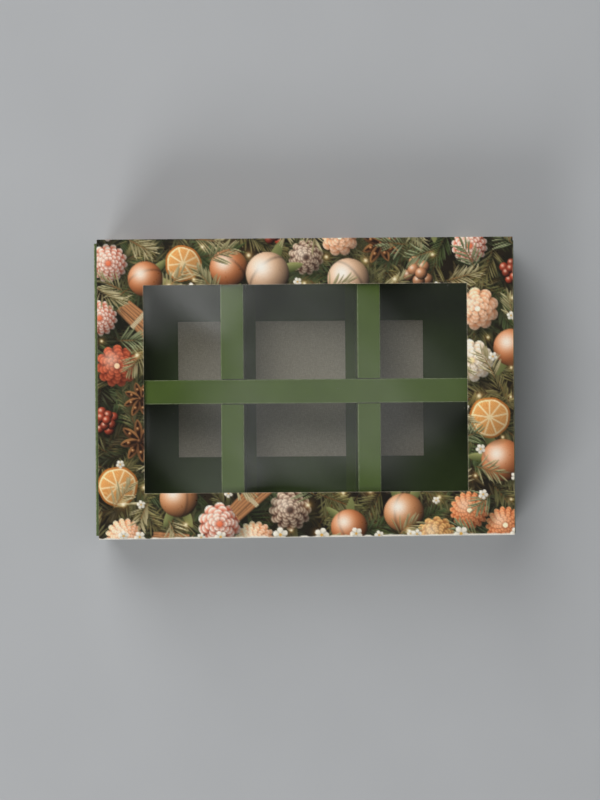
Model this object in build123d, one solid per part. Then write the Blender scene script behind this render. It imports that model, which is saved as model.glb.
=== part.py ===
from build123d import *
import os

# Confectionery box of folded board: a printed sleeve with a film window, and a
# divided tray that slides through it. Millimetres, +Z up, +X along the length.
# The origin is under the middle of the tray, on the surface that the box rests on.

# Board and creases
board = 0.4
crease_inside = 0.15
overrun = 5.0

# Sleeve
sleeve_length = 180.0
sleeve_width = 130.0
sleeve_height = 40.0
glue_flap_height = 16.0
glue_flap_bevel = 5.0
back_edge_lift = 0.3
glue_thickness = 0.1
glue_line_height = 10.0
glue_line_inset = 6.0

# Window and film
window_length = 140.0
window_width = 90.0
window_corner = 0.6
film_thickness = 0.2
film_lap = 9.0
film_corner = 2.0
film_glue_lap = 5.0
film_glue_inset = 1.5

# Tray
tray_length = 181.8
tray_side_clearance = 1.1
tray_height = 38.0
slide_gap = 0.3
tab_gap = 0.15
layer_gap = 0.15
tab_length = 34.0
tab_corner = 6.0
tab_drop = 1.2
corner_clearance = 0.2
side_flap_width = 31.5
end_flap_width = 34.3
patch_shift = -1.7

# Dividers
long_divider_width = 10.5
cross_divider_width = 10.0
divider_drop = 0.4
divider_end_gap = 0.3
divider_pitch = 59.3
cross_shift = -1.7
long_shift = -1.3
cross_foot_width = 4.5
notch_clearance = 0.25
notch_overlap_gap = 0.5

# The sleeve stands this far from the tray's middle, as it was pushed home by hand.
sleeve_shift = 0.4

# Derived sizes
crease = crease_inside + board / 2
outside_crease = crease_inside + board

tray_width = sleeve_width - 2 * (board + tray_side_clearance)
tray_bottom = board + slide_gap
tray_top = tray_bottom + tray_height
tray_end = tray_length / 2
tray_side = tray_width / 2

# A wall is three boards thick: outside, tucked tab and inside.
wall = 3 * board + 2 * tab_gap
wall_pitch = wall - board
rim_radius_share = 0.45
rim_radius = wall_pitch * rim_radius_share
inner_end = tray_end - wall
inner_side = tray_side - wall

floor_mid = tray_bottom + board / 2
flap_mid = floor_mid + board + layer_gap
flap_top = flap_mid + board / 2
rim_mid = tray_top - board / 2
tab_top = tray_top - board - tab_drop

left_flap = end_flap_width + patch_shift
right_flap = end_flap_width - patch_shift
patch_side = inner_side - side_flap_width

divider_top = tray_top - divider_drop
divider_height = divider_top - flap_top
notch_level = flap_top + divider_height / 2
long_notch = cross_divider_width + 2 * notch_clearance
cross_notch = long_divider_width + 2 * notch_clearance

film_top = sleeve_height - board - glue_thickness


def ribbon(points, radii):
    """The edge of one board: its middle line has straight runs and rounded creases."""
    return trace(FilletPolyline(*points, radius=radii), board)


def run_along_x(section, half_length, middle=0):
    """Carries a section drawn in Y and Z along the length of the box."""
    return Pos(middle, 0, 0) * extrude(Plane.YZ * section, amount=half_length, both=True)


def run_along_y(section, half_length, middle=0):
    """Carries a section drawn in X and Z across the box."""
    return Pos(0, middle, 0) * extrude(Plane.XZ * section, amount=half_length, both=True)


def block(low, high):
    """A block between two opposite corners."""
    size = [top - bottom for bottom, top in zip(low, high)]
    return Pos(*low) * Box(*size, align=(Align.MIN, Align.MIN, Align.MIN))


def turned(shape):
    """The same shape after half a turn about the upright axis."""
    return Rot(0, 0, 180) * shape


def plan_prism(points, bottom, top):
    """An upright prism over an outline seen from above."""
    outline = make_face(Polyline(*points, close=True))
    return Pos(0, 0, bottom) * extrude(outline, amount=top - bottom, dir=(0, 0, 1))


def make_sleeve():
    """One board from the back panel's free edge over the top and round to the glue flap."""
    side = sleeve_width / 2 - board / 2
    seam = side - board - glue_thickness
    roof = sleeve_height - board / 2
    section = ribbon(
        [
            (side, back_edge_lift),
            (side, roof),
            (-side, roof),
            (-side, board / 2),
            (seam, board / 2),
            (seam, glue_flap_height),
        ],
        crease,
    )
    tube = run_along_x(section, sleeve_length / 2)
    for end in (-1, 1):
        tube = tube - flap_bevel(end, seam - board)
    window = RectangleRounded(window_length, window_width, window_corner)
    cut = extrude(window, amount=board + overrun, dir=(0, 0, 1))
    tube = tube - Pos(0, 0, sleeve_height - board - glue_thickness / 2) * cut
    return Pos(sleeve_shift, 0, 0) * tube


def flap_bevel(end, inside):
    """What is cut off one end of the glue flap so that it enters its fold easily."""
    tip = end * sleeve_length / 2
    corner = Polyline(
        (tip, glue_flap_height + overrun),
        (tip - end * glue_flap_bevel, glue_flap_height + overrun),
        (tip - end * glue_flap_bevel, glue_flap_height),
        (tip, outside_crease),
        close=True,
    )
    depth = board + (board + glue_thickness) / 2
    return Pos(0, inside, 0) * extrude(make_face(Plane.XZ * corner), amount=depth, dir=(0, 1, 0))


def make_sleeve_glue():
    """The glue line between the glue flap and the back panel."""
    back = sleeve_width / 2 - board
    middle = (glue_flap_height + outside_crease) / 2
    low = (
        sleeve_shift - sleeve_length / 2 + glue_line_inset,
        back - glue_thickness,
        middle - glue_line_height / 2,
    )
    high = (
        sleeve_shift + sleeve_length / 2 - glue_line_inset,
        back,
        middle + glue_line_height / 2,
    )
    return block(low, high)


def make_film():
    """The clear film, larger than the window all round, with rounded corners."""
    length = window_length + 2 * film_lap
    width = window_width + 2 * film_lap
    sheet = extrude(RectangleRounded(length, width, film_corner), amount=film_thickness, dir=(0, 0, -1))
    return Pos(sleeve_shift, 0, film_top) * sheet


def make_film_glue():
    """A frame of glue in the lap between the film and the top panel."""
    inner_length = window_length + 2 * film_glue_inset
    inner_width = window_width + 2 * film_glue_inset
    outer_length = inner_length + 2 * film_glue_lap
    outer_width = inner_width + 2 * film_glue_lap
    outer = RectangleRounded(outer_length, outer_width, film_corner)
    frame = outer - RectangleRounded(inner_length, inner_width, film_corner)
    return Pos(sleeve_shift, 0, film_top) * extrude(frame, amount=glue_thickness, dir=(0, 0, 1))


def make_end_wall(flap_width):
    """The tray's +X end: floor, outer panel, rim, inner panel and the flap on the floor."""
    outer = tray_end - board / 2
    inner = outer - wall_pitch
    flap_edge = inner_end - flap_width
    half_width = tray_side - corner_clearance
    shell = run_along_y(
        ribbon(
            [(0, floor_mid), (outer, floor_mid), (outer, rim_mid), (inner, rim_mid), (inner, tab_top)],
            [crease, rim_radius, rim_radius],
        ),
        half_width,
    )
    lining = run_along_y(
        ribbon([(inner, tab_top), (inner, flap_mid), (flap_edge, flap_mid)], crease),
        inner_side,
    )
    reach = inner_side - corner_clearance
    mitre_end = patch_side - corner_clearance
    keep = plan_prism(
        [
            (tray_end, -reach),
            (tray_end, reach),
            (inner_end, reach),
            (flap_edge, mitre_end),
            (flap_edge, -mitre_end),
            (inner_end, -reach),
        ],
        tray_bottom,
        tray_top,
    )
    return shell + (lining & keep)


def make_side_wall(flap_before, flap_after):
    """The tray's +Y side, in the same order, mitred to the flaps at its -X and +X ends."""
    outer = tray_side - board / 2
    inner = outer - wall_pitch
    flap_edge = inner_side - side_flap_width
    half_length = inner_end - corner_clearance
    shell = run_along_x(
        ribbon(
            [(0, floor_mid), (outer, floor_mid), (outer, rim_mid), (inner, rim_mid), (inner, tab_top)],
            [crease, rim_radius, rim_radius],
        ),
        half_length,
    )
    lining = run_along_x(
        ribbon([(inner, tab_top), (inner, flap_mid), (flap_edge, flap_mid)], crease),
        inner_end,
    )
    keep = plan_prism(
        [
            (-half_length, tray_side),
            (-half_length, inner_side),
            (flap_before - half_length, flap_edge),
            (half_length - flap_after, flap_edge),
            (half_length, inner_side),
            (half_length, tray_side),
        ],
        tray_bottom,
        tray_top,
    )
    return shell + (lining & keep)


def make_corner_wrap():
    """The outer side panel goes on round both corners as tabs tucked into the end walls."""
    outer = tray_side - board / 2
    tab = tray_end - board - tab_gap - board / 2
    tip = outer - tab_length
    band = ribbon([(-tab, tip), (-tab, outer), (tab, outer), (tab, tip)], crease)
    base = tray_bottom + outside_crease
    upright = Pos(0, 0, base) * extrude(band, amount=tab_top - base, dir=(0, 0, 1))
    skirt = run_along_x(
        ribbon([(0, floor_mid), (outer, floor_mid), (outer, base + crease)], crease),
        tab - crease,
    )
    trimmed = upright
    for end in (-tab, tab):
        corner = Pos(end, tip, tab_top) * Rot(0, 90, 0) * Cylinder(tab_corner, board + overrun)
        square = block(
            (end - overrun / 2, tip - overrun, tab_top - tab_corner),
            (end + overrun / 2, tip + tab_corner, tab_top + overrun),
        )
        round_off = square - Pos(0, tab_corner, -tab_corner) * corner
        trimmed = trimmed - round_off
    return trimmed + skirt


def make_tray():
    """Two ends, two sides and four tucked corners, all creased from one board."""
    right = make_end_wall(right_flap)
    left = turned(make_end_wall(left_flap))
    wrap = make_corner_wrap()
    back = make_side_wall(left_flap, right_flap) + wrap
    front = turned(make_side_wall(right_flap, left_flap) + wrap)
    return right + left + back + front


def make_long_divider():
    """A channel along the tray, cut from below where it straddles the cross dividers."""
    leg = long_divider_width / 2 - board / 2
    ridge = divider_top - board / 2
    section = ribbon([(-leg, flap_top), (-leg, ridge), (leg, ridge), (leg, flap_top)], crease)
    channel = run_along_x(section, inner_end - divider_end_gap)
    for middle in cross_places():
        low = (middle - long_notch / 2, -overrun - leg, flap_top - overrun)
        high = (middle + long_notch / 2, leg + overrun, notch_level)
        channel = channel - block(low, high)
    return Pos(0, long_shift, 0) * channel


def cross_places():
    """Where the two cross dividers stand along the tray."""
    return [cross_shift - divider_pitch / 2, cross_shift + divider_pitch / 2]


def make_cross_divider(middle, foot_side):
    """A channel across the tray, notched from above, with a foot turned to the middle."""
    leg = cross_divider_width / 2 - board / 2
    ridge = divider_top - board / 2
    foot_level = flap_top + board / 2
    foot_end = foot_side * (cross_divider_width / 2 + cross_foot_width)
    section = ribbon(
        [
            (foot_end, foot_level),
            (foot_side * leg, foot_level),
            (foot_side * leg, ridge),
            (-foot_side * leg, ridge),
            (-foot_side * leg, flap_top),
        ],
        crease,
    )
    channel = run_along_y(section, inner_side - divider_end_gap)
    reach = cross_divider_width + cross_foot_width
    front = long_shift - cross_notch / 2
    back = long_shift + cross_notch / 2
    notch = block((-reach, front, notch_level - notch_overlap_gap), (reach, back, divider_top + overrun))
    foot_start = foot_side * cross_divider_width / 2
    foot_gap = block(
        (min(foot_start, foot_side * reach), front, flap_top - overrun),
        (max(foot_start, foot_side * reach), back, flap_top + 2 * board),
    )
    return Pos(middle, 0, 0) * (channel - notch - foot_gap)


def write(shape, name):
    """Writes one piece to its own file."""
    shape.label = name
    export_step(shape, os.path.join("parts", name + ".step"))


os.makedirs("parts", exist_ok=True)
left_place, right_place = cross_places()

write(make_sleeve(), "sleeve")
write(make_sleeve_glue(), "sleeve_glue")
write(make_film(), "window_film")
write(make_film_glue(), "film_glue")
write(make_tray(), "tray")
write(make_long_divider(), "long_divider")
write(make_cross_divider(left_place, 1), "cross_divider_left")
write(make_cross_divider(right_place, -1), "cross_divider_right")
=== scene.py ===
# %% [markdown]
# A sweet box of folded board, seen from straight above: a printed sleeve with a clear window, and a green
# tray with dividers that slides through it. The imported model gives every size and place. This lesson adds
# what it can't hold: the print, the film's gloss, the fibres and cut edges of the board, and the light.
# The model is loaded first and never changed, so that each new piece can take its place from it.

import bmesh
import bpy
import numpy as np
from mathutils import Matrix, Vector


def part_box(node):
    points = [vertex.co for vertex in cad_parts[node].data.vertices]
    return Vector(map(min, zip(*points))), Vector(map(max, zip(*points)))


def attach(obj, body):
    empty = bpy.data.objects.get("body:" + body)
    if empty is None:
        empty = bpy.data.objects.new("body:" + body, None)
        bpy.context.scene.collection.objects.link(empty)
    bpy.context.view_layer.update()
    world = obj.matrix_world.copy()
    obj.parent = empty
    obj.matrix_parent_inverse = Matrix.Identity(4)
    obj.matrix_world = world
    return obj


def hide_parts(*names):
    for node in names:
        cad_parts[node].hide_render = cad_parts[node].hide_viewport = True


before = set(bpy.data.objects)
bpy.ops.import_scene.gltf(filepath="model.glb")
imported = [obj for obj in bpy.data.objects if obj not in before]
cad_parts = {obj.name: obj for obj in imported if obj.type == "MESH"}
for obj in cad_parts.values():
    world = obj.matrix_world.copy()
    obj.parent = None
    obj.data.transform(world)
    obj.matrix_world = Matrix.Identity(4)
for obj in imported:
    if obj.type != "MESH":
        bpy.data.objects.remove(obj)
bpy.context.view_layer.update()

mm = 0.001


def box_mm(node):
    """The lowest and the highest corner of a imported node, in millimetres."""
    return [np.array(corner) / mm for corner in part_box(node)]


# %% [markdown]
# Carton makers give colours as hex values, as a screen shows them. Blender mixes light, so it wants linear
# values. One function turns one into the other, for a single ink and for a whole sheet of print alike.

# %% Colours
def rgb(hex_colour):
    """Red, green and blue of an sRGB hex value, each from 0 to 1."""
    return np.array([int(hex_colour[place:place + 2], 16) / 255 for place in (1, 3, 5)])


def linear(srgb):
    """sRGB to linear: c / 12.92 up to 0.04045, and ((c + 0.055) / 1.055) ** 2.4 above it."""
    return np.where(srgb <= 0.04045, srgb / 12.92, ((srgb + 0.055) / 1.055) ** 2.4)


def ink(hex_colour):
    """A hex value as the four numbers that a colour socket takes."""
    return (*linear(rgb(hex_colour)), 1.0)


print("a screen's #808080 is", round(ink("#808080")[0], 3), "of full light")

# %% [markdown]
# A material is a small graph. It could be drawn with the mouse, but written down, each node with its
# settings and links in one call, it reads from top to bottom, from the pattern to the shader. Sockets that
# share a name go by number: a Mix takes its share at 0, and two values at 2 and 3 or two colours at 6 and
# 7, and SCALE takes its factor at 3.

# %% Nodes
def add(tree, kind, inputs=None, **settings):
    """Adds one node. Its kind is Blender's name without ShaderNode.

    An input takes a value, an output, or a node, which stands for the first of its outputs in use."""
    made = tree.nodes.new("ShaderNode" + kind)
    for name, value in settings.items():
        setattr(made, name, value)
    for socket, value in (inputs or {}).items():
        if isinstance(value, bpy.types.Node):
            value = next(output for output in value.outputs if output.enabled)
        if isinstance(value, bpy.types.NodeSocket):
            tree.links.new(value, made.inputs[socket])
        else:
            made.inputs[socket].default_value = value
    return made


def make_material(name, surface, **details):
    """A material. Its surface function adds the nodes, starting from a point's place, and gives the last."""
    material = bpy.data.materials.new(name)
    material.use_nodes = True
    tree = material.node_tree
    tree.nodes.clear()
    place = add(tree, "TexCoord").outputs["Object"]
    add(tree, "OutputMaterial", {"Surface": surface(tree, place, **details)})
    print("material", name, "of", len(tree.nodes), "nodes")
    return material


# %% [markdown]
# New pieces could be solids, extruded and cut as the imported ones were. Here they are grids of points,
# worked out as whole arrays, so that each point can carry a colour and move by a formula. Blender takes the
# points in metres, and faces as rows of point numbers. Points that no face uses, as in a window, are
# dropped.

# %% Arrays into a mesh
def grid_faces(numbers):
    """Four-sided faces between the neighbours of a grid of point numbers, row by row."""
    corners = numbers[:-1, :-1], numbers[1:, :-1], numbers[1:, 1:], numbers[:-1, 1:]
    return np.stack([corner.ravel() for corner in corners], axis=1)


def make_piece(name, points, groups, materials, crease_angle=40):
    """A piece from points in millimetres and groups of faces, one group for each material.

    A group holds single faces and arrays of them. Edges that turn by more than the crease angle stay
    sharp, and the faces are turned to point outwards. Returns the piece and the numbers of its points."""
    used = np.unique(np.concatenate([np.ravel(face) for group in groups for face in group]))
    renumber = np.zeros(len(points), int)
    renumber[used] = np.arange(len(used))
    faces, slots = [], []
    for slot, group in enumerate(groups):
        for face in group:
            rows = np.atleast_2d(renumber[face]).tolist()
            faces += rows
            slots += [slot] * len(rows)
    mesh = bpy.data.meshes.new(name)
    mesh.from_pydata((points[used] * mm).tolist(), [], faces)
    mesh.polygons.foreach_set("material_index", slots)
    for material in materials:
        mesh.materials.append(material)
    shell = bmesh.new()
    shell.from_mesh(mesh)
    bmesh.ops.recalc_face_normals(shell, faces=shell.faces)
    open_edges = sum(not edge.is_manifold for edge in shell.edges)
    print(name, "points", len(used), "faces", len(faces), "triangles", len(shell.calc_loop_triangles()),
          "open edges", open_edges, "volume cm3", round(shell.calc_volume() * 1e6, 2))
    shell.to_mesh(mesh)
    shell.free()
    mesh.shade_smooth()
    mesh.set_sharp_from_angle(angle=np.radians(crease_angle))
    piece = bpy.data.objects.new(name, mesh)
    bpy.context.scene.collection.objects.link(piece)
    return piece, used


# %% [markdown]
# The board is folding boxboard with a grey recycled back: matt pressed pulp, with long pale and dark
# fibres in it. It shows where the tray's floor isn't covered by its flaps, and inside the sleeve. A picture
# of board would repeat, so noise, drawn out long, makes the fibres. Real ones are about 0.02 mm thick,
# too fine to show here, so they are drawn at 0.25 mm.

# %% Grey back of the board
def fibre_height(tree, place, fibre, stretch):
    """Height of matted fibres: noise drawn out along X and again along Y, and the higher of the two."""
    layers = []
    for scale in ((1 / stretch, 1, 1), (1, 1 / stretch, 1)):
        drawn = add(tree, "Mapping", {"Vector": place, "Scale": scale, "Rotation": (0, 0, 0.3)})
        layers.append(add(tree, "TexNoise", {"Vector": drawn, "Scale": 1 / (fibre * mm), "Detail": 3}))
    return add(tree, "Math", {0: layers[0], 1: layers[1]}, operation="MAXIMUM")


def bare_pulp(tree, fibres):
    """Colour of the bare back: grey-brown, and paler where a fibre lies on top."""
    pale = add(tree, "MapRange", {"Value": fibres, "From Min": 0.45, "From Max": 0.72})
    return add(tree, "Mix", {0: pale, 6: ink("#BFB2A4"), 7: ink("#D8CDC1")}, data_type="RGBA")


def pressed_back(tree, place):
    """Uncoated recycled board: IOR 1.5, roughness 0.85 to 0.95, pale and dark fibres, faint clouds."""
    fibres = fibre_height(tree, place, 0.25, 6)
    cloud = add(tree, "TexNoise", {"Vector": place, "Scale": 1 / (14 * mm), "Detail": 2})
    shade = add(tree, "MapRange", {"Value": cloud, "To Min": 0.9, "To Max": 1.08})
    colour = add(tree, "VectorMath", {0: bare_pulp(tree, fibres), 3: shade}, operation="SCALE")
    rough = add(tree, "MapRange", {"Value": fibres, "To Min": 0.95, "To Max": 0.85})
    relief = add(tree, "Bump", {"Height": fibres, "Strength": 0.5, "Distance": 0.04 * mm})
    return add(tree, "BsdfPrincipled", {
        "Base Color": colour, "Roughness": rough, "IOR": 1.5, "Normal": relief})


grey_back = make_material("recycled_board_grey_back_pressed", pressed_back)


# %% [markdown]
# A die cuts the board, and the cut shows its core: a pale, slightly furry line round the window and at the
# ends of the sleeve. It could be part of the print, but the narrow faces between the board's two sides get
# a material of their own, so that the line is as thin as the board from wherever it is seen.

# %% Cut edge of the board
def mottled(tree, place, grain, detail, inks, roughness, depth, ior):
    """A surface in two inks: one noise mixes them, and sets the roughness and the relief as well.

    The noise's grain and the relief's depth are in millimetres."""
    noise = add(tree, "TexNoise", {"Vector": place, "Scale": 1 / (grain * mm), "Detail": detail})
    colour = add(tree, "Mix", {0: noise, 6: ink(inks[0]), 7: ink(inks[1])}, data_type="RGBA")
    rough = add(tree, "MapRange", {"Value": noise, "To Min": roughness[0], "To Max": roughness[1]})
    relief = add(tree, "Bump", {"Height": noise, "Strength": 0.6, "Distance": depth * mm})
    return add(tree, "BsdfPrincipled", {
        "Base Color": colour, "Roughness": rough, "IOR": ior, "Normal": relief})


# Die-cut pulp is warm off-white and torn rather than smooth, so it has no gloss at all.
cut_edge = make_material(
    "boxboard_die_cut_edge", mottled, grain=0.3, detail=4, inks=("#A79F90", "#DCD5C7"),
    roughness=(0.82, 0.96), depth=0.05, ior=1.5)

# %% [markdown]
# The tray and its dividers are folded from board printed green on one side and coated matt. The packed
# nodes already have the right shape, so they keep it and only get this finish. Each is one mesh, so the
# material itself finds out what a point is: the floor between the flaps shows the grey back, and a crease
# is paler in patches. The flaps' own points tell where the bare floor lies.

# %% Where the tray's floor is bare
board = 0.4
floor_level = box_mm("tray")[0][2] + board
flap_level = box_mm("long_divider")[0][2]
spare, spare_height = 0.2, 0.05        # a flat surface is found within a little more than its own bounds

tray_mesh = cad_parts["tray"].data
tray_points = np.empty(len(tray_mesh.vertices) * 3)
tray_mesh.vertices.foreach_get("co", tray_points)
tray_points = tray_points.reshape(-1, 3) / mm
flap_points = tray_points[np.abs(tray_points[:, 2] - flap_level) < 0.01]
bare_back = np.abs(flap_points[:, 1]).min()
inner_ends = flap_points[np.abs(flap_points[:, 1]) < bare_back + 0.5][:, 0]
bare_left, bare_right = inner_ends[inner_ends < 0].max(), inner_ends[inner_ends > 0].min()
bare_floor = [
    ("X", (bare_left + bare_right) / 2, (bare_right - bare_left) / 2 + spare),
    ("Y", 0.0, bare_back + spare), ("Z", floor_level, spare_height)]
for axis, middle, half in bare_floor:
    print("bare floor along", axis, "at", round(middle, 2), "plus or minus", round(half, 2), "mm")


# %% Green coated board
def green_coat(tree, place, coat_ink, bare_ranges=()):
    """Board with a matt green coat: IOR 1.5, roughness about 0.5, and the fibres just felt through it.

    A crease is where the board's face leans: neither level nor upright. What faces up within all the bare
    ranges, each an axis, its middle and its half in millimetres, is the grey back."""
    normal = add(tree, "NewGeometry").outputs["True Normal"]
    upward = add(tree, "SeparateXYZ", {0: normal}).outputs["Z"]
    fibres = fibre_height(tree, place, 0.35, 5)
    cloud = add(tree, "TexNoise", {"Vector": place, "Scale": 1 / (9 * mm), "Detail": 4})
    scuff = add(tree, "TexNoise", {
        "Vector": place, "Scale": 1 / (1.6 * mm), "Detail": 6, "Roughness": 0.7})
    tone = add(tree, "MapRange", {
        "Value": cloud, "From Min": 0.3, "From Max": 0.7, "To Min": 0.93, "To Max": 1.06})
    green = add(tree, "VectorMath", {0: ink(coat_ink)[:3], 3: tone}, operation="SCALE")
    speckle = add(tree, "MapRange", {
        "Value": fibres, "From Min": 0.6, "From Max": 0.8, "To Min": 0, "To Max": 0.07})
    speckled = add(tree, "Mix", {0: speckle, 6: green, 7: ink("#7E8C62")}, data_type="RGBA")
    # A crease, where the face leans, is made paler in patches of the scuff noise.
    leaning = add(tree, "Math", {0: upward, 1: 0.55, 2: 0.42}, operation="COMPARE")
    patchy = add(tree, "MapRange", {
        "Value": scuff, "From Min": 0.42, "From Max": 0.62, "To Min": 0.15, "To Max": 0.55})
    paler_lines = add(tree, "Math", {0: leaning, 1: patchy}, operation="MULTIPLY")
    colour = add(tree, "Mix", {0: paler_lines, 6: speckled, 7: ink("#A9AF8E")}, data_type="RGBA")
    rough = add(tree, "MapRange", {"Value": scuff, "To Min": 0.46, "To Max": 0.62})
    relief = add(tree, "Bump", {"Height": fibres, "Strength": 0.12, "Distance": 0.02 * mm})
    surface = add(tree, "BsdfPrincipled", {
        "Base Color": colour, "Roughness": rough, "IOR": 1.5, "Normal": relief})
    if bare_ranges:
        back = add(tree, "BsdfPrincipled", {
            "Base Color": bare_pulp(tree, fibres), "Roughness": 0.9, "IOR": 1.5, "Normal": relief})
        parts = add(tree, "SeparateXYZ", {0: place}).outputs
        bare = add(tree, "Math", {0: upward, 1: 0.9}, operation="GREATER_THAN")
        for axis, middle, half in bare_ranges:
            within = add(tree, "Math", {0: parts[axis], 1: middle * mm, 2: half * mm}, operation="COMPARE")
            bare = add(tree, "Math", {0: bare, 1: within}, operation="MULTIPLY")
        surface = add(tree, "MixShader", {0: bare, 1: surface, 2: back})
    return surface


def dress(node, material):
    """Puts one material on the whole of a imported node."""
    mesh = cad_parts[node].data
    mesh.materials.clear()
    mesh.materials.append(material)
    print(node, "wears", material.name)


# The tray is the same board as the dividers, but its ink is darker: painted shade for its walls and flaps
# deep in the box.
dress("tray", make_material(
    "green_boxboard_tray_ink_darker_painted_shade", green_coat, coat_ink="#495A2D", bare_ranges=bare_floor))
divider_board = make_material("green_boxboard_matt_coated_divider", green_coat, coat_ink="#4F6322")
for divider in ("long_divider", "cross_divider_left", "cross_divider_right"):
    dress(divider, divider_board)

# %% [markdown]
# The sleeve is printed with a winter garland: slender green leaves, flower heads in copper and cream,
# fruit, spices and small lights. A picture file would be the easy way, and it would be somebody's
# picture. Here the sheet is painted in code, as a block printer would lay it down: an array of colours,
# one for each 0.2 mm of paper, and a few blocks that are stamped on it again and again, back to front.

# %% The sheet of paper
sleeve_low, sleeve_high = box_mm("sleeve")
film_low, film_high = box_mm("window_film")
film_lap = 9.0
sleeve_half = (sleeve_high - sleeve_low)[:2] / 2
window_half = (film_high - film_low)[:2] / 2 - film_lap
sleeve_middle = (sleeve_high[0] + sleeve_low[0]) / 2

dice = np.random.default_rng(29)
print_step = 0.2
soft_edge = 0.22
end_bleed, front_turn, back_depth = 1.0, 2.0, 41.0
print_low = -sleeve_half - (end_bleed, front_turn)
print_high = sleeve_half + (end_bleed, back_depth)
u_line, v_line = (np.arange(low, high, print_step) for low, high in zip(print_low, print_high))
sheet = np.zeros((len(v_line), len(u_line), 3))
everywhere = np.s_[:, :]
print("sheet of", sheet.shape[1], "by", sheet.shape[0], "dots, window", (2 * window_half).round(2), "mm")


def clouds(grain):
    """Soft noise from -1 to 1: random values every grain millimetres, joined along cosines."""
    steps = [(line - line[0]) / grain for line in (v_line, u_line)]
    row_at, col_at = (step.astype(int) for step in steps)
    row_mix, col_mix = (0.5 - 0.5 * np.cos(np.pi * (step % 1)) for step in steps)
    values = dice.uniform(-1, 1, (row_at[-1] + 2, col_at[-1] + 2))
    along = values[:, col_at] * (1 - col_mix) + values[:, col_at + 1] * col_mix
    return along[row_at] * (1 - row_mix[:, None]) + along[row_at + 1] * row_mix[:, None]


def around(middle, reach):
    """The square of the sheet within reach of a point, and each dot's offset from that point."""
    cols = slice(*np.searchsorted(u_line, (middle[0] - reach, middle[0] + reach)))
    rows = slice(*np.searchsorted(v_line, (middle[1] - reach, middle[1] + reach)))
    return (rows, cols), u_line[cols][None, :] - middle[0], v_line[rows][:, None] - middle[1]


def in_radii(middle, radius, reach):
    """The square round a motif, its dots' offsets and their distance, all counted in the motif's radii.

    dv - du grows towards the upper left, where the light in the print comes from."""
    area, du, dv = around(middle, radius * reach)
    return area, du / radius, dv / radius, np.hypot(du, dv) / radius


def towards(angle):
    """One millimetre in a direction."""
    return np.array([np.cos(angle), np.sin(angle)])


def turned(du, dv, angle):
    """Offsets along a direction, and across it to its left."""
    cos, sin = towards(angle)
    return du * cos + dv * sin, dv * cos - du * sin


def blend(first, second, share):
    """Two colours mixed: the first where share is 0, the second where it is 1."""
    return first + (second - first) * share[..., None]


def lay(area, colour, cover, lit=np.ones(1)):
    """Prints a colour, times how lit it is: all of it where cover is 1, and a mix below that."""
    sheet[area] = blend(sheet[area], np.clip(colour * lit[..., None], 0, 1), cover)


def inside(depth):
    """1 where depth is above zero and 0 below it, with an edge as soft as a printed dot."""
    return np.clip(depth / soft_edge + 0.5, 0, 1)


def shadow(middle, reach, strength, right=0.0, down=0.0):
    """Darkens the sheet round a place beside a point. It fades with the square of the distance."""
    area, du, dv = around((middle[0] + right, middle[1] - down), reach)
    lay(area, rgb("#10140B"), strength * np.clip(1 - (du * du + dv * dv) / reach**2, 0, 1))


# %% [markdown]
# The ground is thousands of slender leaves on bent stems. Each leaf has a lit and a shaded side, and that
# alone makes the ground look deep once three layers lie on one another, from nearly black to pale.

# %% Leaves and sprigs
def leaf(root, heading, length, width, bend, dark, light):
    """A slender leaf. Along it t runs from 0 to 1, and its half-width is width * (4 t (1 - t)) ** 0.7."""
    area, du, dv = around(root + towards(heading) * length / 2, length / 2 + width)
    along, across = turned(du, dv, heading)
    t = 0.5 + along / length
    off = across - bend * t * t
    half = width * (4 * np.clip(t * (1 - t), 0, 1)) ** 0.7
    lit = np.clip(0.5 + 0.6 * off / width * np.cos(heading) + 0.35 * (t - 0.5), 0, 1)
    lay(area, blend(dark, light, lit), inside(half - np.abs(off)) * ((t > 0) & (t < 1)))


def sprig(root, heading, length, curl, dark, light, stem):
    """A bent stem with leaves in pairs, which get shorter and lean forward towards the tip."""
    pairs = int(length / 1.15)
    leaf(root, heading + curl / 2, length * 0.9, 0.3, 0, stem * 0.7, stem)
    for pair in range(pairs):
        share = pair / pairs
        heading = heading + curl / pairs
        root = root + length / pairs * towards(heading)
        for side in (-1, 1):
            spread = side * np.radians(48 - 26 * share + dice.normal(0, 7))
            size = (8.2 - 3.4 * share) * dice.uniform(0.8, 1.15)
            tone = dice.uniform(-0.07, 0.07)
            leaf(root, heading + spread, size, dice.uniform(0.26, 0.42), dice.normal(0, 0.5),
                 np.clip(dark + tone, 0, 1), np.clip(light + tone, 0, 1))


# %% [markdown]
# The flower heads are the largest forms. One block makes them all: rings of petals on one another, each
# ring smaller and turned a little. With other colours and counts it gives a copper one, a cream one, or
# one with dark petals and pale tips.

# %% Flower heads and small blossoms
def ball(far):
    """How far a ball's surface faces the viewer: sqrt(1 - far ** 2), and 0 beyond its edge."""
    return np.sqrt(np.clip(1 - far * far, 0, 1))


def gleam(du, dv, off, width):
    """A highlight to the upper left: exp(-(d / width) ** 2), with d counted from a place off the middle."""
    return np.exp(-((du + off) ** 2 + (dv - off) ** 2) / width**2)


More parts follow.
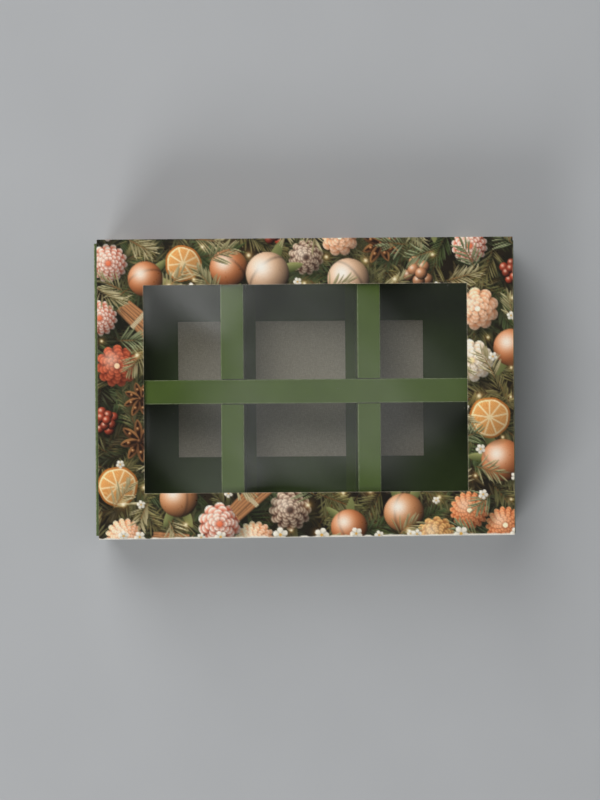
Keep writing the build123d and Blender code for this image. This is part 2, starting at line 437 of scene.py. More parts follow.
def rosette(middle, radius, petals, rings, turn, tones):
    """A flower head. A petal's end lies at its ring's radius, less a share of phi ** 2.

    phi runs from -1 to 1 across the petal. The colour goes from the foot's to the tip's along it, and
    darkens as phi nears the next petal. The whole head is lit as a low dome and gleams."""
    tip, foot, heart = (rgb(tone) for tone in tones)
    shadow(middle, radius * 1.35, 0.75, right=radius * 0.12, down=radius * 0.18)
    area, du, dv, far = in_radii(middle, radius, 1.1)
    angle = np.arctan2(dv, du)
    lit = 0.86 + 0.28 * ball(far) + 0.28 * (dv - du)
    for ring in range(rings):
        outer = 1 - 0.82 * ring / rings
        inner = 1 - 0.82 * (ring + 1.35) / rings
        count = max(5, round(petals * (1 - 0.5 * ring / rings)))
        phi = ((angle + turn + ring * 2.4) * count / (2 * np.pi) % 1) * 2 - 1
        rise = np.clip((far - inner) / (outer - inner), 0, 1)
        groove = 1 - 0.42 * np.abs(phi) ** 5 - 0.16 * (np.abs(phi) < 0.1) * rise
        edge = outer * (1 - 0.17 * phi**2)
        lay(area, blend(foot, tip, rise), inside((edge - far) * radius), groove * lit)
    lay(area, heart, inside((0.13 - far) * radius), lit)
    lay(area, rgb("#FFF4E8"), 0.5 * gleam(du, dv, 0.3, 0.42) * inside((0.95 - far) * radius))


def blossom(middle, radius, turn):
    """A small white flower: five petals whose edge is radius * (1 - 0.32 phi ** 2), and a yellow heart."""
    area, du, dv, far = in_radii(middle, radius, 1.2)
    phi = ((np.arctan2(dv, du) + turn) * 5 / (2 * np.pi) % 1) * 2 - 1
    lit = 0.86 + 0.16 * far - 0.25 * np.abs(phi) ** 4 + 0.08 * (dv - du)
    lay(area, rgb("#F4F0E6"), inside((1 - 0.32 * phi**2 - far) * radius), lit)
    lay(area, rgb("#D9A441"), inside((0.2 - far) * radius))


# %% [markdown]
# Between the flowers lies what such sweets are flavoured with: apricots, dried orange, star anise, rolled
# bark tied with twine, and berries. A ball needs only its lit side and one highlight to look round.

# %% Dried fruit and berries
def citrus(middle, radius, turn):
    """A dried slice: rind, pith, then nine wedges of pulp, each 0.35 mm clear of the lines between them."""
    shadow(middle, radius * 1.3, 0.7, right=radius * 0.12, down=radius * 0.16)
    area, du, dv, far = in_radii(middle, radius, 1.1)
    angle = np.arctan2(dv, du) + turn
    far = far / (1 + 0.025 * np.sin(angle * 3 + 1) + 0.015 * np.sin(angle * 7))
    lit = 0.95 + 0.16 * (dv - du)
    lay(area, rgb("#B06A2C"), inside((1 - far) * radius), lit)
    lay(area, rgb("#F2D8A8"), inside((0.90 - far) * radius), lit)
    wedge = np.abs((angle * 9 / (2 * np.pi)) % 1 - 0.5)
    fibre = 0.5 + 0.5 * np.sin(angle * 70 + 5 * np.sin(far * 9)) * far
    gap = np.minimum((0.5 - wedge) * 2 * np.pi / 9 * far * radius - 0.35, (0.82 - far) * radius)
    pulp = inside(np.minimum(gap, (far - 0.12) * radius))
    lay(area, blend(rgb("#C97F3C"), rgb("#F0BC78"), fibre), pulp, lit)


def apricot(middle, radius, turn, skin, bloom):
    """A smooth round fruit, shaded as a ball. Its cleft runs where across = 0.45 sqrt(1 - along ** 2)."""
    shadow(middle, radius * 1.35, 0.75, right=radius * 0.12, down=radius * 0.18)
    for spread in (-0.5, 0.4):
        leaf(middle, turn + spread, radius * 1.7, radius * 0.24, 0, rgb("#39421F"), rgb("#9DA066"))
    area, du, dv, far = in_radii(middle, radius, 1.1)
    along, across = turned(du, dv, turn)
    cleft = np.exp(-((across - 0.45 * ball(along)) / 0.07) ** 2)
    lit = (0.42 + 0.5 * ball(far) + 0.32 * (dv - du)) * (1 - 0.3 * cleft)
    shown = blend(rgb(skin) * lit[..., None], rgb(bloom), gleam(du, dv, 0.3, 0.5))
    lay(area, shown, inside((1 - far) * radius))


def berry(middle, radius, colour, shine):
    """A ball: the light falls off from its upper left as its surface turns away, and a spot shines."""
    area, du, dv, far = in_radii(middle, radius, 1.15)
    lit = np.clip(0.25 + 0.55 * ball(far) + 0.38 * (dv - du), 0.12, 1.3)
    spot = 0.85 * gleam(du, dv, 0.35, 0.32)
    lay(area, colour * lit[..., None] + (shine - colour) * spot[..., None], inside((1 - far) * radius))


def berries(middle, radius, count, colour, shine):
    """A cluster set on a sunflower spiral, the outer berries first."""
    shadow(middle, radius * 1.4, 0.8)
    golden_angle = 2.39996
    for order in np.arange(count)[::-1]:
        spot = middle + radius * 0.78 * np.sqrt((order + 0.5) / count) * towards(order * golden_angle)
        size = radius * 1.02 / np.sqrt(count) * dice.uniform(0.95, 1.1)
        berry(spot, size, rgb(colour) * dice.uniform(0.85, 1.12), rgb(shine))


# %% Pods, bark and small lights
def star_pod(middle, radius, turn):
    """A dry star of eight pods, each split along its back and holding one polished seed."""
    shadow(middle, radius * 1.2, 0.75, right=0.8, down=1.0)
    for arm in range(8):
        heading = turn + arm * np.pi / 4 + dice.normal(0, 0.05)
        size = radius * dice.uniform(0.88, 1.05)
        leaf(middle, heading, size, radius * 0.20, 0, rgb("#3A2114"), rgb("#A87445"))
        leaf(middle, heading, size * 0.92, radius * 0.085, 0, rgb("#1E100A"), rgb("#2A170E"))
        berry(middle + size * 0.55 * towards(heading), radius * 0.105, rgb("#9A5B2C"), rgb("#F6D9B0"))
    berry(middle, radius * 0.13, rgb("#5A3520"), rgb("#B98A5E"))


def bark(middle, heading, length, width):
    """One rolled stick: light across it as on a cylinder, fine lines along it, and a dark seam."""
    area, du, dv = around(middle, length * 0.6)
    along, across = turned(du, dv, heading)
    across = across / (width / 2)
    lit = 0.35 + 0.75 * ball(across) + 0.15 * across
    groove = 1 - 0.45 * np.exp(-((across - 0.15) / 0.12) ** 2)
    line = 1 + 0.08 * np.sin(across * 23 + np.sin(along * 1.3))
    depth = np.minimum(length / 2 - np.abs(along), (1 - np.abs(across)) * width / 2)
    lay(area, rgb("#B07A50"), inside(depth), lit * groove * line)


def bark_bundle(middle, heading, length, width):
    """Three sticks, tied round the middle with three turns of twine."""
    shadow(middle, length * 0.62, 0.7, right=0.8, down=1.0)
    side = towards(heading + np.pi / 2) * width * 0.86
    for place, tilt in ((-1, -0.05), (1, 0.06), (0, 0.0)):
        bark(middle + side * place, heading + tilt, length * (1 - 0.06 * place), width)
    for turn_at in (-0.6, 0.0, 0.6):
        area, du, dv = around(middle + towards(heading) * turn_at, width * 1.7)
        along, across = turned(du, dv, heading)
        depth = np.minimum(0.3 - np.abs(along), 1.42 * width - np.abs(across))
        lay(area, rgb("#E4D3AE"), inside(depth), 0.86 + 0.14 * np.sin(across * 9))


def glow(middle, radius):
    """A point of warm light. It is screened on: what is left of white is multiplied down."""
    area, _, _, far = in_radii(middle, radius, 3.4)
    halo = (0.8 * np.exp(-far * 1.1) * np.clip(3.4 - far, 0, 1))[..., None] * rgb("#E09A48")
    point = np.exp(-(far * 2.0) ** 2)[..., None] * rgb("#FFEFC4")
    sheet[area] = 1 - (1 - sheet[area]) * (1 - halo) * (1 - point)


# %% [markdown]
# A garland looks natural when nothing in it is evenly spaced and nothing crowds. Points are thrown at
# random, and each is kept only if it is far enough from all the others. The seed is fixed, so that every
# run prints the same sheet.

# %% Where things go
def scatter(gap, margin, tries):
    """Points thrown on the sheet, outside the window less a margin, none nearer than gap to another."""
    kept = np.full((1, 2), np.inf)
    for spot in dice.uniform(print_low, print_high, (tries, 2)):
        in_window = np.all(np.abs(spot) < window_half - margin)
        if not in_window and np.min(np.hypot(*(kept - spot).T)) > gap:
            kept = np.vstack([kept, spot])
    return kept[1:]


def foliage(spots, lengths, tones):
    """A sprig from each spot, turned and bent at random, in one of the given sets of tones."""
    for spot in spots:
        dark, light, stem = (rgb(tone) for tone in tones[dice.integers(len(tones))])
        turn, length = dice.uniform(0, 2 * np.pi), dice.uniform(*lengths)
        sprig(spot, turn, length, dice.uniform(-0.9, 0.9), dark, light, stem)


# Tones of a leaf's dark side, its light side and its stem.
shade_tones = [("#1A150B", "#5A4E2E", "#4A2E17"), ("#15170D", "#45492B", "#3C2814")]
leaf_tones = [
    ("#272312", "#8F8D5A", "#7A4D27"), ("#1F2811", "#66774B", "#573A1E"), ("#302914", "#A79E66", "#7A4D27")]
tip_tones = [
    ("#423D22", "#D5CDA0", "#96663A"), ("#384127", "#B2BA91", "#7D5830"), ("#554A28", "#E7DDB6", "#96663A")]

sheet[:] = rgb("#1B150C") * (1 + 0.3 * clouds(6))[..., None]
foliage(scatter(gap=9.0, margin=12, tries=6000), lengths=(17, 27), tones=shade_tones)
sheet *= (1 + 0.18 * clouds(11))[..., None]
foliage(scatter(gap=9.5, margin=12, tries=6000), lengths=(17, 27), tones=leaf_tones)
print("mean of the green ground", np.round(sheet.mean(axis=(0, 1)) * 255))

# %% The large motifs, in turn
# A flower's colours at the petal's tip, its foot and the heart, then its petals and rings. A fruit's
# colours on its skin and in its gleam.
copper = ("#F0A574", "#A04E26", "#FBD9B8")
peach = ("#FFDCC2", "#D08A60", "#FFE9D2")
cream = ("#FFFAF0", "#CDB295", "#F0CF98")
gold = ("#E6B772", "#84532A", "#F6D89C")
ruby = ("#CE6240", "#6E2414", "#F2BE98")
frosted = ("#FFFAF4", "#A8452C", "#CF5A34")
umber = ("#E2CFB8", "#46291E", "#2A1810")
flowers = [
    (peach, 9, 5), (frosted, 10, 5), (copper, 9, 5), (umber, 12, 6), (cream, 10, 5), (copper, 17, 6),
    (gold, 12, 6), (peach, 16, 6), (frosted, 14, 5), (ruby, 11, 5), (cream, 16, 6)]
skins = [("#E0925A", "#FFF8F0"), ("#DA7C44", "#FFF2E6"), ("#F2C29C", "#FFFCF8"), ("#E69A5C", "#FFF8EE")]


def motif(order, spot, radius):
    """Stamps one motif. Flower heads and other things take turns, over and over in fifteens."""
    turn = dice.uniform(0, 2 * np.pi)
    kind = order % 15
    if kind == 4:
        citrus(spot, radius, turn)
    elif kind in (1, 6, 9, 12):
        apricot(spot, radius, turn, *skins[kind % 4])
    elif kind == 2:
        berries(spot, radius * 0.8, 11, "#B8442A", "#FFE2D0")
    elif kind == 7:
        star_pod(spot, radius, turn)
    elif kind == 10:
        bark_bundle(spot, turn, radius * 2.1, radius * 0.36)
    elif kind == 13:
        berries(spot, radius * 0.8, 7, "#E29A6C", "#FFF0E0")
    else:
        tones, petals, rings = flowers[order % len(flowers)]
        rosette(spot, radius, petals, rings, turn, tones)


motif_spots = scatter(gap=16.8, margin=-1.5, tries=40000)
for order, spot in enumerate(motif_spots):
    motif(order, spot, dice.uniform(7.6, 9.6))
print(len(motif_spots), "large motifs")


# %% Pale tips, blossoms and lights between them
def clear_of_motifs(spots, gap):
    """Those of the spots that are at least gap away from every large motif."""
    away = np.hypot(*(spots[:, None] - motif_spots[None]).transpose(2, 0, 1)).min(axis=1)
    return spots[away > gap]


tip_spots = clear_of_motifs(scatter(gap=11, margin=6, tries=4000), 9.5)
foliage(tip_spots, lengths=(8, 13), tones=tip_tones)
for spot in clear_of_motifs(scatter(gap=16, margin=2, tries=3000), 9):
    blossom(spot, dice.uniform(1.5, 2.4), dice.uniform(0, 2 * np.pi))
light_spots = clear_of_motifs(scatter(gap=11, margin=2, tries=3000), 8.0)
for spot in light_spots:
    glow(spot, dice.uniform(0.9, 1.9))
print(len(tip_spots), "pale sprigs and", len(light_spots), "lights")

# %% [markdown]
# The print stops a little short of the front fold, where the sleeve's white front panel begins. That line
# is ragged, with white blossoms along it, as if snow lay on the leaves. Where the die cut through the
# print, at the window and at both ends, a hair of pale core shows. A ruled line would look drawn, so each
# goes by the distance from a fold or a cut, with soft noise added. Ink is never quite black on board, and
# the varnish warms it. The darkest ink is lifted a little more as painted sheen, in place of the
# varnish's reflection of the back light.

# %% White front and worn edges
white = rgb("#EDEBE4")
white_strip, bare_core, crease_wear, blossom_gap = 0.65, 0.12, 0.3, 17.0
rim = -sleeve_half[1] + white_strip + 0.3 * clouds(7) + 0.3 * clouds(2.5)
lay(everywhere, white, inside(rim - v_line[:, None]))
for place in np.arange(-sleeve_half[0] + 6, sleeve_half[0], blossom_gap):
    spot = (place + dice.uniform(-6, 6), -sleeve_half[1] + dice.uniform(0.6, 1.6))
    blossom(spot, dice.uniform(1.8, 3.4), dice.uniform(0, 2 * np.pi))

u_out, v_out = np.abs(u_line), np.abs(v_line)[:, None]
from_window = np.maximum(u_out - window_half[0], v_out - window_half[1])
from_end = sleeve_half[0] + bare_core - u_out
from_cut = np.minimum(from_window, from_end)
paler_lines = 0.5 * inside(bare_core + 0.18 * clouds(3) - from_cut) * (from_window > -1)
lay(everywhere, rgb("#B9B1A3"), paler_lines)
from_crease = np.abs(v_out - sleeve_half[1])
lay(everywhere, rgb("#A9A391"), 0.45 * inside(crease_wear - from_crease) * (clouds(1.2) > 0.45))
# Painted sheen: the darkest ink is lifted, partly because ink on board is never black, partly in place of the
# varnish's reflection of the back light.
black_lift_and_painted_sheen, varnish = 0.03, rgb("#FFFBF1")
sheet = np.clip(black_lift_and_painted_sheen + (1 - black_lift_and_painted_sheen) * sheet * varnish, 0, 1)
print("mean of the finished print", np.round(sheet.mean(axis=(0, 1)) * 255))

# %% [markdown]
# The sleeve itself is one board creased four times. Five flat panels would be simpler, but it is the small
# curve of a crease that catches the light. Seen from its end, the middle of the board is a line of
# straight runs and small arcs, its two faces lie half a board to either side, and the line is carried
# along the length. The top and the back carry the print, one colour to a point, so their grid is as fine
# as the print needs, while plain panels and the inside stay coarse.

# %% The board's line, seen from the end of the sleeve
inside_crease, glue_gap, back_edge = 0.15, 0.1, 0.3
r = inside_crease + board / 2        # a crease's radius, at the middle of the board
flap_height, flap_bevel = 16.0, 5.0
side = sleeve_half[1] - board / 2
roof = sleeve_high[2] - board / 2
base = board / 2
seam = side - board - glue_gap
back_rows, crease_rows, border_rows, window_rows, plain_rows = 40, 3, 48, 232, 8


def run(start, end, cells):
    """Points on a straight run of the line, and the way out of the box along it: the run turned right."""
    whole = np.array(end) - start
    along = whole / np.hypot(*whole)
    points = start + np.linspace(0, 1, cells + 1)[:, None] * whole
    return points, np.tile([along[1], -along[0]], (cells + 1, 1))


def arc(centre, first):
    """A quarter turn to the left round a centre: from the angle first, r (cos, sin) of each angle."""
    way = towards(np.radians(first + np.linspace(0, 90, crease_rows + 1))).T
    return centre + r * way, way


stretches = [
    ("back", *run((side, back_edge), (side, roof - r), back_rows)),
    ("top crease", *arc((side - r, roof - r), 0)),
    ("back border", *run((side - r, roof), (window_half[1], roof), border_rows)),
    ("window", *run((window_half[1], roof), (-window_half[1], roof), window_rows)),
    ("front border", *run((-window_half[1], roof), (r - side, roof), border_rows)),
    ("front crease", *arc((r - side, roof - r), 90)),
    ("front", *run((-side, roof - r), (-side, base + r), plain_rows)),
    ("low crease", *arc((r - side, base + r), 180)),
    ("bottom", *run((r - side, base), (seam - r, base), 3 * plain_rows)),
    ("flap crease", *arc((seam - r, base + r), 270)),
    ("flap", *run((seam, base + r), (seam, flap_height), plain_rows)),
]
names, places, ways = zip(*stretches)
line, way_out = (np.vstack([parts[0][:1], *(part[1:] for part in parts)]) for parts in (places, ways))
ends = np.cumsum([0] + [len(points) - 1 for points in places])
row_of = dict(zip(names, zip(ends[:-1], ends[1:])))
travel = np.concatenate([[0], np.cumsum(np.hypot(*np.diff(line, axis=0).T))])
print("rows along the board's line:", len(line), "length", round(travel[-1], 1), "mm")

# %% [markdown]
# A real sleeve is never quite square. In the photo the front fold runs in by 0.8 mm towards the right
# end, and the tall panels bow in a little between their folds. These shifts go to both faces alike, so
# that the board keeps its thickness, and they fade out before the window, which is cut true.

# %% Places along the length, and what folding by hand does
end_cells, window_cells = 56, 376
x_line = np.concatenate([
    np.linspace(-sleeve_half[0], -window_half[0], end_cells + 1),
    np.linspace(-window_half[0], window_half[0], window_cells + 1)[1:],
    np.linspace(window_half[0], sleeve_half[0], end_cells + 1)[1:],
])
front_skew, panel_bow = 0.8, 0.35


def settle(x, y, z):
    """Each point's y after folding by hand.

    The front half beyond the window moves in by front_skew times the share of the length, times a smooth
    step from the window to the fold, times the height. Both tall panels bow in as sin squared of the
    height above the glue line, times the cosine of the length."""
    share = (x / sleeve_half[0] + 1) / 2
    step = np.clip((-y - window_half[1]) / (sleeve_half[1] - window_half[1]), 0, 1)
    inward = front_skew * share * step * step * (3 - 2 * step) * np.clip(z / sleeve_high[2], 0, 1)
    height = np.clip((z - flap_height) / (sleeve_high[2] - flap_height), 0, 1)
    upright = np.abs(y) > seam - board
    bow = panel_bow * np.sin(np.pi * height) ** 2 * np.cos(np.pi * x / (2.2 * sleeve_half[0])) * upright
    return y + inward - np.sign(y) * bow


def face_points(offset):
    """All points of one face of the board: the line moved out by offset, at each place of the length.

    The glue flap gets shorter as it rises, by flap_bevel at each end."""
    out, up = (line + way_out * offset).T
    x, y = np.meshgrid(x_line, out)
    z = np.meshgrid(x_line, up)[1]
    flap_rows = slice(row_of["flap"][0], None)
    rise = (z[flap_rows] - z[flap_rows][:1]) / (flap_height - z[flap_rows][0, 0])
    x[flap_rows] *= 1 - flap_bevel / sleeve_half[0] * rise
    return np.stack([x + sleeve_middle, settle(x, y, z), z], axis=2)


outer, inner = face_points(board / 2), face_points(-board / 2)
sleeve_points = np.stack([outer, inner]).reshape(-1, 3)
outer_number, inner_number = np.arange(len(sleeve_points)).reshape(2, len(line), len(x_line))
print("front fold at both ends, mm:", outer[row_of["front crease"][1], [0, -1], 1].round(2))

# %% [markdown]
# One fine grid all over would be simpler, and four times as heavy. So fine and coarse grids meet along
# rows where one coarse face takes in several fine points: a polygon with many corners, so that no crack
# opens. The same polygons close the ends and the cut round the window.

# %% Faces of the print and of the inside
def stitch(fine, coarse, steps):
    """Polygons between a row of fine points and a row of coarse ones, which stand at given steps of it."""
    return [np.concatenate([fine[first:last + 1], coarse[place:place + 2][::-1]])
            for place, (first, last) in enumerate(zip(steps[:-1], steps[1:]))]


def round_window(grid, rows, cols):
    """Faces of a grid but for those between two of its rows and two of its columns."""
    middle = grid[rows[0]:rows[1] + 1]
    return [grid_faces(grid[:rows[0] + 1]), grid_faces(grid[rows[1]:]),
            grid_faces(middle[:, :cols[0] + 1]), grid_faces(middle[:, cols[1]:])]


fine_step = 8
back_last = row_of["back"][1]
print_first, print_last = row_of["top crease"][0], row_of["front crease"][1]
window_at = np.array(row_of["window"])
window_cols = np.array([end_cells, end_cells + window_cells])
every_col = np.arange(0, len(x_line), fine_step)
half_col = np.arange(0, len(x_line), 2)

printed = [
    grid_faces(outer_number[:back_last][:, half_col]),
    *stitch(outer_number[back_last], outer_number[back_last - 1][half_col], half_col),
    *round_window(outer_number[print_first:print_last + 1], window_at - print_first, window_cols),
    *stitch(outer_number[print_last], outer_number[print_last + 1][every_col], every_col),
    grid_faces(outer_number[print_last + 1:][:, every_col]),
]
inner_rows = np.concatenate([
    np.arange(0, back_last, fine_step), np.arange(*row_of["top crease"]),
    np.arange(row_of["back border"][0], row_of["front border"][1], fine_step),
    np.arange(row_of["front crease"][0], len(line))])
coarse_at = np.searchsorted(inner_rows, window_at), np.searchsorted(every_col, window_cols)
back_face = round_window(inner_number[inner_rows][:, every_col], *coarse_at)
print("inside, rows and columns:", len(inner_rows), len(every_col))

# %% Cut edges: the two free edges of the board, the two ends, and round the window
cuts = stitch(outer_number[0, half_col], inner_number[0, every_col], every_col // 2)
cuts.append(grid_faces(np.stack([outer_number[-1, every_col], inner_number[-1, every_col]])))
hole = tuple(slice(first, last + 1) for first, last in (window_at, window_cols))
outer_hole, inner_hole = outer_number[hole], inner_number[hole]
row_steps, col_steps = (
    steps[(steps >= first) & (steps <= last)] - first
    for steps, (first, last) in ((inner_rows, window_at), (every_col, window_cols)))
for edge in (0, -1):
    cuts += stitch(outer_number[:, edge], inner_number[inner_rows, edge], inner_rows)
    cuts += stitch(outer_hole[edge], inner_hole[edge, col_steps], col_steps)
    cuts += stitch(outer_hole[:, edge], inner_hole[row_steps, edge], row_steps)
print("groups of faces along the cuts:", len(cuts))

# %% [markdown]
# The sheet could be saved as a picture and wrapped round the sleeve. One colour to each point does the
# same with no file. A varnish lies over the print: clear, a little rough, so that it glows rather than
# mirrors. It follows the board's fibres and a faint ripple from the press.

# %% Ink for each point
def sheet_at(u, v):
    """The sheet's colour at places in millimetres, mixed from the four dots around each."""
    col = np.clip((u - u_line[0]) / print_step, 0, len(u_line) - 1.001)
    row = np.clip((v - v_line[0]) / print_step, 0, len(v_line) - 1.001)
    col_at, row_at = col.astype(int), row.astype(int)
    near, far = (blend(sheet[at, col_at], sheet[at, col_at + 1], col - col_at) for at in (row_at, row_at + 1))
    return blend(near, far, row - row_at)


v_of_row = side - r + travel[row_of["back border"][0]] - travel
outer_ink = sheet_at(*np.meshgrid(x_line, v_of_row))
outer_ink[row_of["front crease"][0] + 2:] = white
inner_ink = np.broadcast_to(white, inner.shape)
sleeve_ink = linear(np.stack([outer_ink, inner_ink]).reshape(-1, 3))
print("ink for", len(sleeve_ink), "points")


# %% Printed and varnished board
def varnished_print(tree, place):
    """Offset print under clear varnish: IOR 1.5, roughness 0.24 to 0.34, press grain drawn at 0.45 mm."""
    colour = add(tree, "Attribute", attribute_name="ink").outputs["Color"]
    fibres = fibre_height(tree, place, 0.3, 4)
    grain = add(tree, "TexNoise", {"Vector": place, "Scale": 1 / (0.45 * mm), "Detail": 2})
    tone = add(tree, "MapRange", {
        "Value": grain, "From Min": 0.25, "From Max": 0.75, "To Min": 0.92, "To Max": 1.07})
    inked = add(tree, "VectorMath", {0: colour, 3: tone}, operation="SCALE")
    ripple = add(tree, "TexNoise", {"Vector": place, "Scale": 1 / (2.2 * mm), "Detail": 2})
    rough = add(tree, "MapRange", {"Value": ripple, "To Min": 0.24, "To Max": 0.34})
    fine = add(tree, "Bump", {"Height": fibres, "Strength": 0.16, "Distance": 0.02 * mm})
    broad = add(tree, "Bump", {
        "Height": ripple, "Strength": 0.15, "Distance": 0.04 * mm, "Normal": fine})
    return add(tree, "BsdfPrincipled", {
        "Base Color": inked, "Roughness": rough, "IOR": 1.5, "Normal": broad})


print_face = make_material("boxboard_offset_print_varnished", varnished_print)
sleeve, sleeve_used = make_piece(
    "printed_sleeve", sleeve_points, [printed, cuts, back_face], [print_face, cut_edge, grey_back])
ink_layer = sleeve.data.color_attributes.new("ink", "FLOAT_COLOR", "POINT")
solid = np.ones(len(sleeve_used))
ink_layer.data.foreach_set("color", np.column_stack([sleeve_ink[sleeve_used], solid]).ravel())
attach(sleeve, "sleeve")
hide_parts("sleeve")

# %% [markdown]
# The window is a sheet of clear polyester film, glued under the top panel. One flat face would do for a
# window in a wall, but film is never dead flat: pulled by its glue it sags a little and ripples, and that
# is what bends the reflections in it. So it is a grid with rounded corners, and its height is a formula.

# %% Shape of the film
film_half = (film_high - film_low)[:2] / 2
film_corner, corner_lines, film_step = 2.0, 5, 1.5
sag_depth, ripple_depth = 0.16, 0.045


def round_corners(spots):
    """Turns the square in each corner of the film into a quarter disc.

    With a and b from 0 to 1 across the square, they become a sqrt(1 - b b / 2) and b sqrt(1 - a a / 2)."""
    share = np.clip((np.abs(spots) - film_half[:, None, None]) / film_corner + 1, 0, 1)
    pull = share * (np.sqrt(1 - share[::-1] ** 2 / 2) - 1)
    return np.sign(spots) * (np.abs(spots) + film_corner * pull)


def film_sag(x, y):
    """How far the film lies below its glue: fade times sag_depth, plus three slow ripples.

    fade is 1 - (x / half) ** 2, times the same in y, so that nothing sags under the board."""
    fade = np.clip(1 - (x / window_half[0]) ** 2, 0, 1) * np.clip(1 - (y / window_half[1]) ** 2, 0, 1)
    ripple = np.sin(x / 13 + y / 31 + 0.6) + 0.8 * np.sin(y / 11 - x / 43 + 2.1)
    ripple += 0.5 * np.sin((x + y) / 7.5)
    return fade * sag_depth + np.sqrt(fade) * ripple_depth * ripple


film_lines = []
for half in film_half:
    corner_line = np.linspace(half - film_corner, half, corner_lines)
    plain_line = np.linspace(-half, half, int(2 * half / film_step) + 1)
    film_lines.append(np.unique(np.concatenate([plain_line, corner_line, -corner_line])))
film_x, film_y = round_corners(np.stack(np.meshgrid(*film_lines)))
sag = film_sag(film_x, film_y)
film_points = np.concatenate([
    np.stack([film_x + sleeve_middle, film_y, level - sag], axis=2).reshape(-1, 3)
    for level in (film_high[2], film_low[2])])
film_top = np.arange(film_x.size).reshape(film_x.shape)
border = np.concatenate([film_top[0], film_top[1:, -1], film_top[-1, -2::-1], film_top[-2::-1, 0]])
film_faces = [
    grid_faces(film_top), grid_faces(film_top + film_x.size),
    grid_faces(np.stack([border, border + film_x.size]))]
print("film sags by up to", round(sag.max(), 2), "mm")


# %% Clear polyester film
def glossy_film(tree, place):
    """Clear film, IOR 1.64: each face throws back 6% of the light head on and more at a slant.

    What isn't thrown back passes through. Dust lies on it, in specks drawn at up to 0.4 mm across."""
    slant = add(tree, "LayerWeight", {"Blend": 0.5}).outputs["Facing"]
    steep = add(tree, "Math", {0: slant, 1: 5.0}, operation="POWER")
    thrown = add(tree, "MapRange", {"Value": steep, "To Min": 0.06, "To Max": 1.0})
    through = add(tree, "BsdfTransparent", {"Color": (0.97, 0.98, 0.97, 1)})
    gloss = add(tree, "BsdfGlossy", {"Color": (1, 1, 1, 1), "Roughness": 0.03})
    sheer = add(tree, "MixShader", {0: thrown, 1: through, 2: gloss})
    specks = add(tree, "TexVoronoi", {"Vector": place, "Scale": 1 / (9 * mm)}, voronoi_dimensions="2D")
    size = add(tree, "MapRange", {
        "Value": specks.outputs["Color"], "From Min": 0.4, "From Max": 1.0, "To Min": 0.0, "To Max": 0.02})
    speck = add(tree, "Math", {0: specks, 1: size}, operation="LESS_THAN")
    dusty = add(tree, "Math", {0: speck, 1: 0.45}, operation="MULTIPLY")
    dust = add(tree, "BsdfDiffuse", {"Color": ink("#D8D6D0"), "Roughness": 1.0})
    return add(tree, "MixShader", {0: dusty, 1: sheer, 2: dust})


polyester = make_material("polyester_film_clear_extruded", glossy_film)
film, _ = make_piece("clear_film", film_points, [film_faces], [polyester])
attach(film, "sleeve")
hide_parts("window_film")

# %% [markdown]
# Two lines of glue hold the sleeve together, one along its seam and one round the film. Water-based
# carton glue dries to a hazy skin, yellowish where it is thick. Little of it shows, but it is there when
# the box is seen from its end. The recipe is that of the cut edge, with a coarser grain and more gloss.

# %% Dried carton glue
glue = make_material(
    "dispersion_glue_dried", mottled, grain=1.5, detail=3, inks=("#CFC6AE", "#ECE8DC"),
    roughness=(0.3, 0.55), depth=0.03, ior=1.47)
dress("sleeve_glue", glue)
dress("film_glue", glue)


# %% [markdown]
# The box lies on plain grey studio paper. A studio hangs it in a curve to hide its far edge. Here a flat
# floor ten metres wide does, because it has no edge in any view.

# %% Studio paper
def seamless_paper(tree, place):
    """Matt seamless paper: light grey, roughness 0.9, with a faint cloudiness."""
    cloud = add(tree, "TexNoise", {"Vector": place, "Scale": 1 / (60 * mm), "Detail": 2})
    colour = add(tree, "Mix", {0: cloud, 6: ink("#B0B2B4"), 7: ink("#B6B8BA")}, data_type="RGBA")
    return add(tree, "BsdfPrincipled", {"Base Color": colour, "Roughness": 0.9, "IOR": 1.4})


floor_half, floor_lines = 5000.0, 9
floor_line = np.linspace(-floor_half, floor_half, floor_lines)
floor_points = np.stack(np.meshgrid(floor_line, floor_line, [0.0]), axis=3).reshape(-1, 3)
floor_faces = grid_faces(np.arange(floor_lines**2).reshape(floor_lines, floor_lines))
paper, _ = make_piece(
    "studio_floor", floor_points, [[floor_faces]], [make_material("studio_paper_matt", seamless_paper)])

# %% [markdown]
# The shadows in the photo tell where its lights stood. One shadow falls above the box and one below it,
# and both lean to the right, so two large low lights stand on the left, one to the front and one to the
# back. The rest is a soft fill from all round, and a pale ceiling that the film throws back as a haze.

# %% Two low soft lights
light_distance = 2.0


def soft_light(name, bearing, elevation, width, height, power, mirrored=True):
    """A light panel that faces the box, at a bearing from +X and a height angle, both in degrees.

    One that isn't mirrored stays out of reflections, as behind a polarising filter."""
    turn, rise = np.radians(bearing), np.radians(elevation)
    way = np.append(towards(turn) * np.cos(rise), np.sin(rise))
    lamp = bpy.data.lights.new(name, "AREA")
    lamp.shape, lamp.size, lamp.size_y, lamp.energy = "RECTANGLE", width, height, power
    holder = bpy.data.objects.new(name, lamp)
    holder.location = way * light_distance
    holder.rotation_euler = (np.pi / 2 - rise, 0, turn + np.pi / 2)
    holder.visible_glossy = mirrored
    bpy.context.scene.collection.objects.link(holder)
    print(name, "at", np.round(way * light_distance, 2), "m")


soft_light("back_left_light", bearing=116, elevation=45, width=1.2, height=2.3, power=28.5, mirrored=False)
soft_light("front_left_light", bearing=239, elevation=35, width=0.8, height=0.8, power=16.5)

# %% [markdown]
# More lamps would show in the film with hard edges, so the fill is the world itself. Its colour depends
# on the direction alone: even all round, and above the box a soft bright field, as wide as the film shows
# of it, brightest to the back and left.

# %% Fill and ceiling
eye = np.array([-2.1, -5.1, 1001.5])
film_drop = eye[2] - film_high[2]


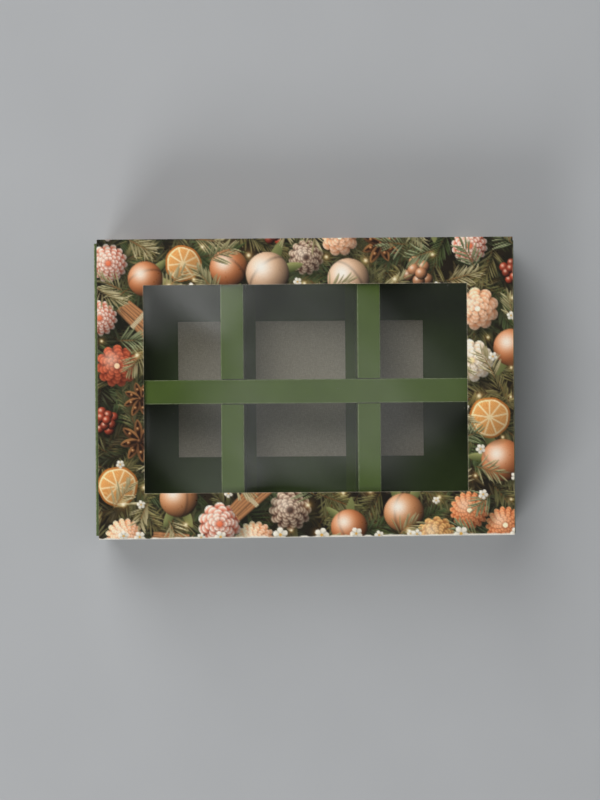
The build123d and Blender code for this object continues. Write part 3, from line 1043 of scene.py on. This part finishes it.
def make_world(fill, dim, lobes):
    """A world that is even but for its top.

    There a direction (x, y, z) is read as the spot on the film that throws it back to the camera: x / z and
    y / z times the camera's height above the film, from the point below the camera. Each lobe adds light
    round a spot, falling off smoothly, and slow noise makes them uneven, as a real ceiling is. A lobe is
    its spot, the distances where it begins and has ended to fall off, in millimetres, and its strength."""
    world = bpy.data.worlds.new("studio")
    world.use_nodes = True
    tree = world.node_tree
    tree.nodes.clear()
    way = add(tree, "SeparateXYZ", {0: add(tree, "TexCoord").outputs["Generated"]}).outputs
    slope = add(tree, "CombineXYZ", {
        axis: add(tree, "Math", {0: way[axis], 1: way["Z"]}, operation="DIVIDE") for axis in ("X", "Y")})
    spot = add(tree, "VectorMath", {
        0: slope, 1: (film_drop, film_drop, 0), 2: (eye[0], eye[1], 0)}, operation="MULTIPLY_ADD")
    uneven = add(tree, "TexNoise", {"Vector": spot, "Scale": 1 / 50, "Detail": 1, "Distortion": 0.6})
    patchy = add(tree, "MapRange", {
        "Value": uneven, "From Min": 0.4, "From Max": 0.6, "To Min": 0.75, "To Max": 1.05})
    total = dim
    for centre, near, far, strength in lobes:
        away = add(tree, "VectorMath", {0: spot, 1: (*centre, 0)}, operation="DISTANCE")
        lobe = add(tree, "MapRange", {
            "Value": away, "From Min": near, "From Max": far, "To Min": strength, "To Max": 0},
            interpolation_type="SMOOTHERSTEP")
        total = add(tree, "Math", {0: lobe, 1: patchy, 2: total}, operation="MULTIPLY_ADD")
    high = add(tree, "MapRange", {
        "Value": way["Z"], "From Min": 0.975, "From Max": 0.992}, interpolation_type="SMOOTHSTEP")
    value = add(tree, "Mix", {0: high, 2: fill, 3: total})
    sky = add(tree, "Background", {"Color": (1, 1, 1, 1), "Strength": value})
    add(tree, "OutputWorld", {"Surface": sky})
    bpy.context.scene.world = world


make_world(fill=0.25, dim=0.035, lobes=[
    ((-42, 51), 14, 40, 0.97), ((-3, 5), 15, 56, 0.44), ((-34, -28), 6, 29, 0.42), ((38, -9), 6, 36, 0.32),
    ((64, 28), 12, 46, 0.08)])
bpy.context.scene.view_settings.view_transform = "Standard"

# %% [markdown]
# The photo was taken from straight above. All four corners of the sleeve are visible and the tray's ends
# hardly show, so the camera stood about a metre up, a few millimetres from the middle and turned a little.

# %% Camera
camera_turn = -0.44
lens = bpy.data.cameras.new("camera")
lens.lens, lens.sensor_width = 100.0, 36.0
camera = bpy.data.objects.new("camera", lens)
camera.location = eye * mm
camera.rotation_euler = (0, 0, np.radians(camera_turn))
bpy.context.scene.collection.objects.link(camera)
bpy.context.scene.camera = camera
print("camera at", np.round(eye * mm, 3), "m")
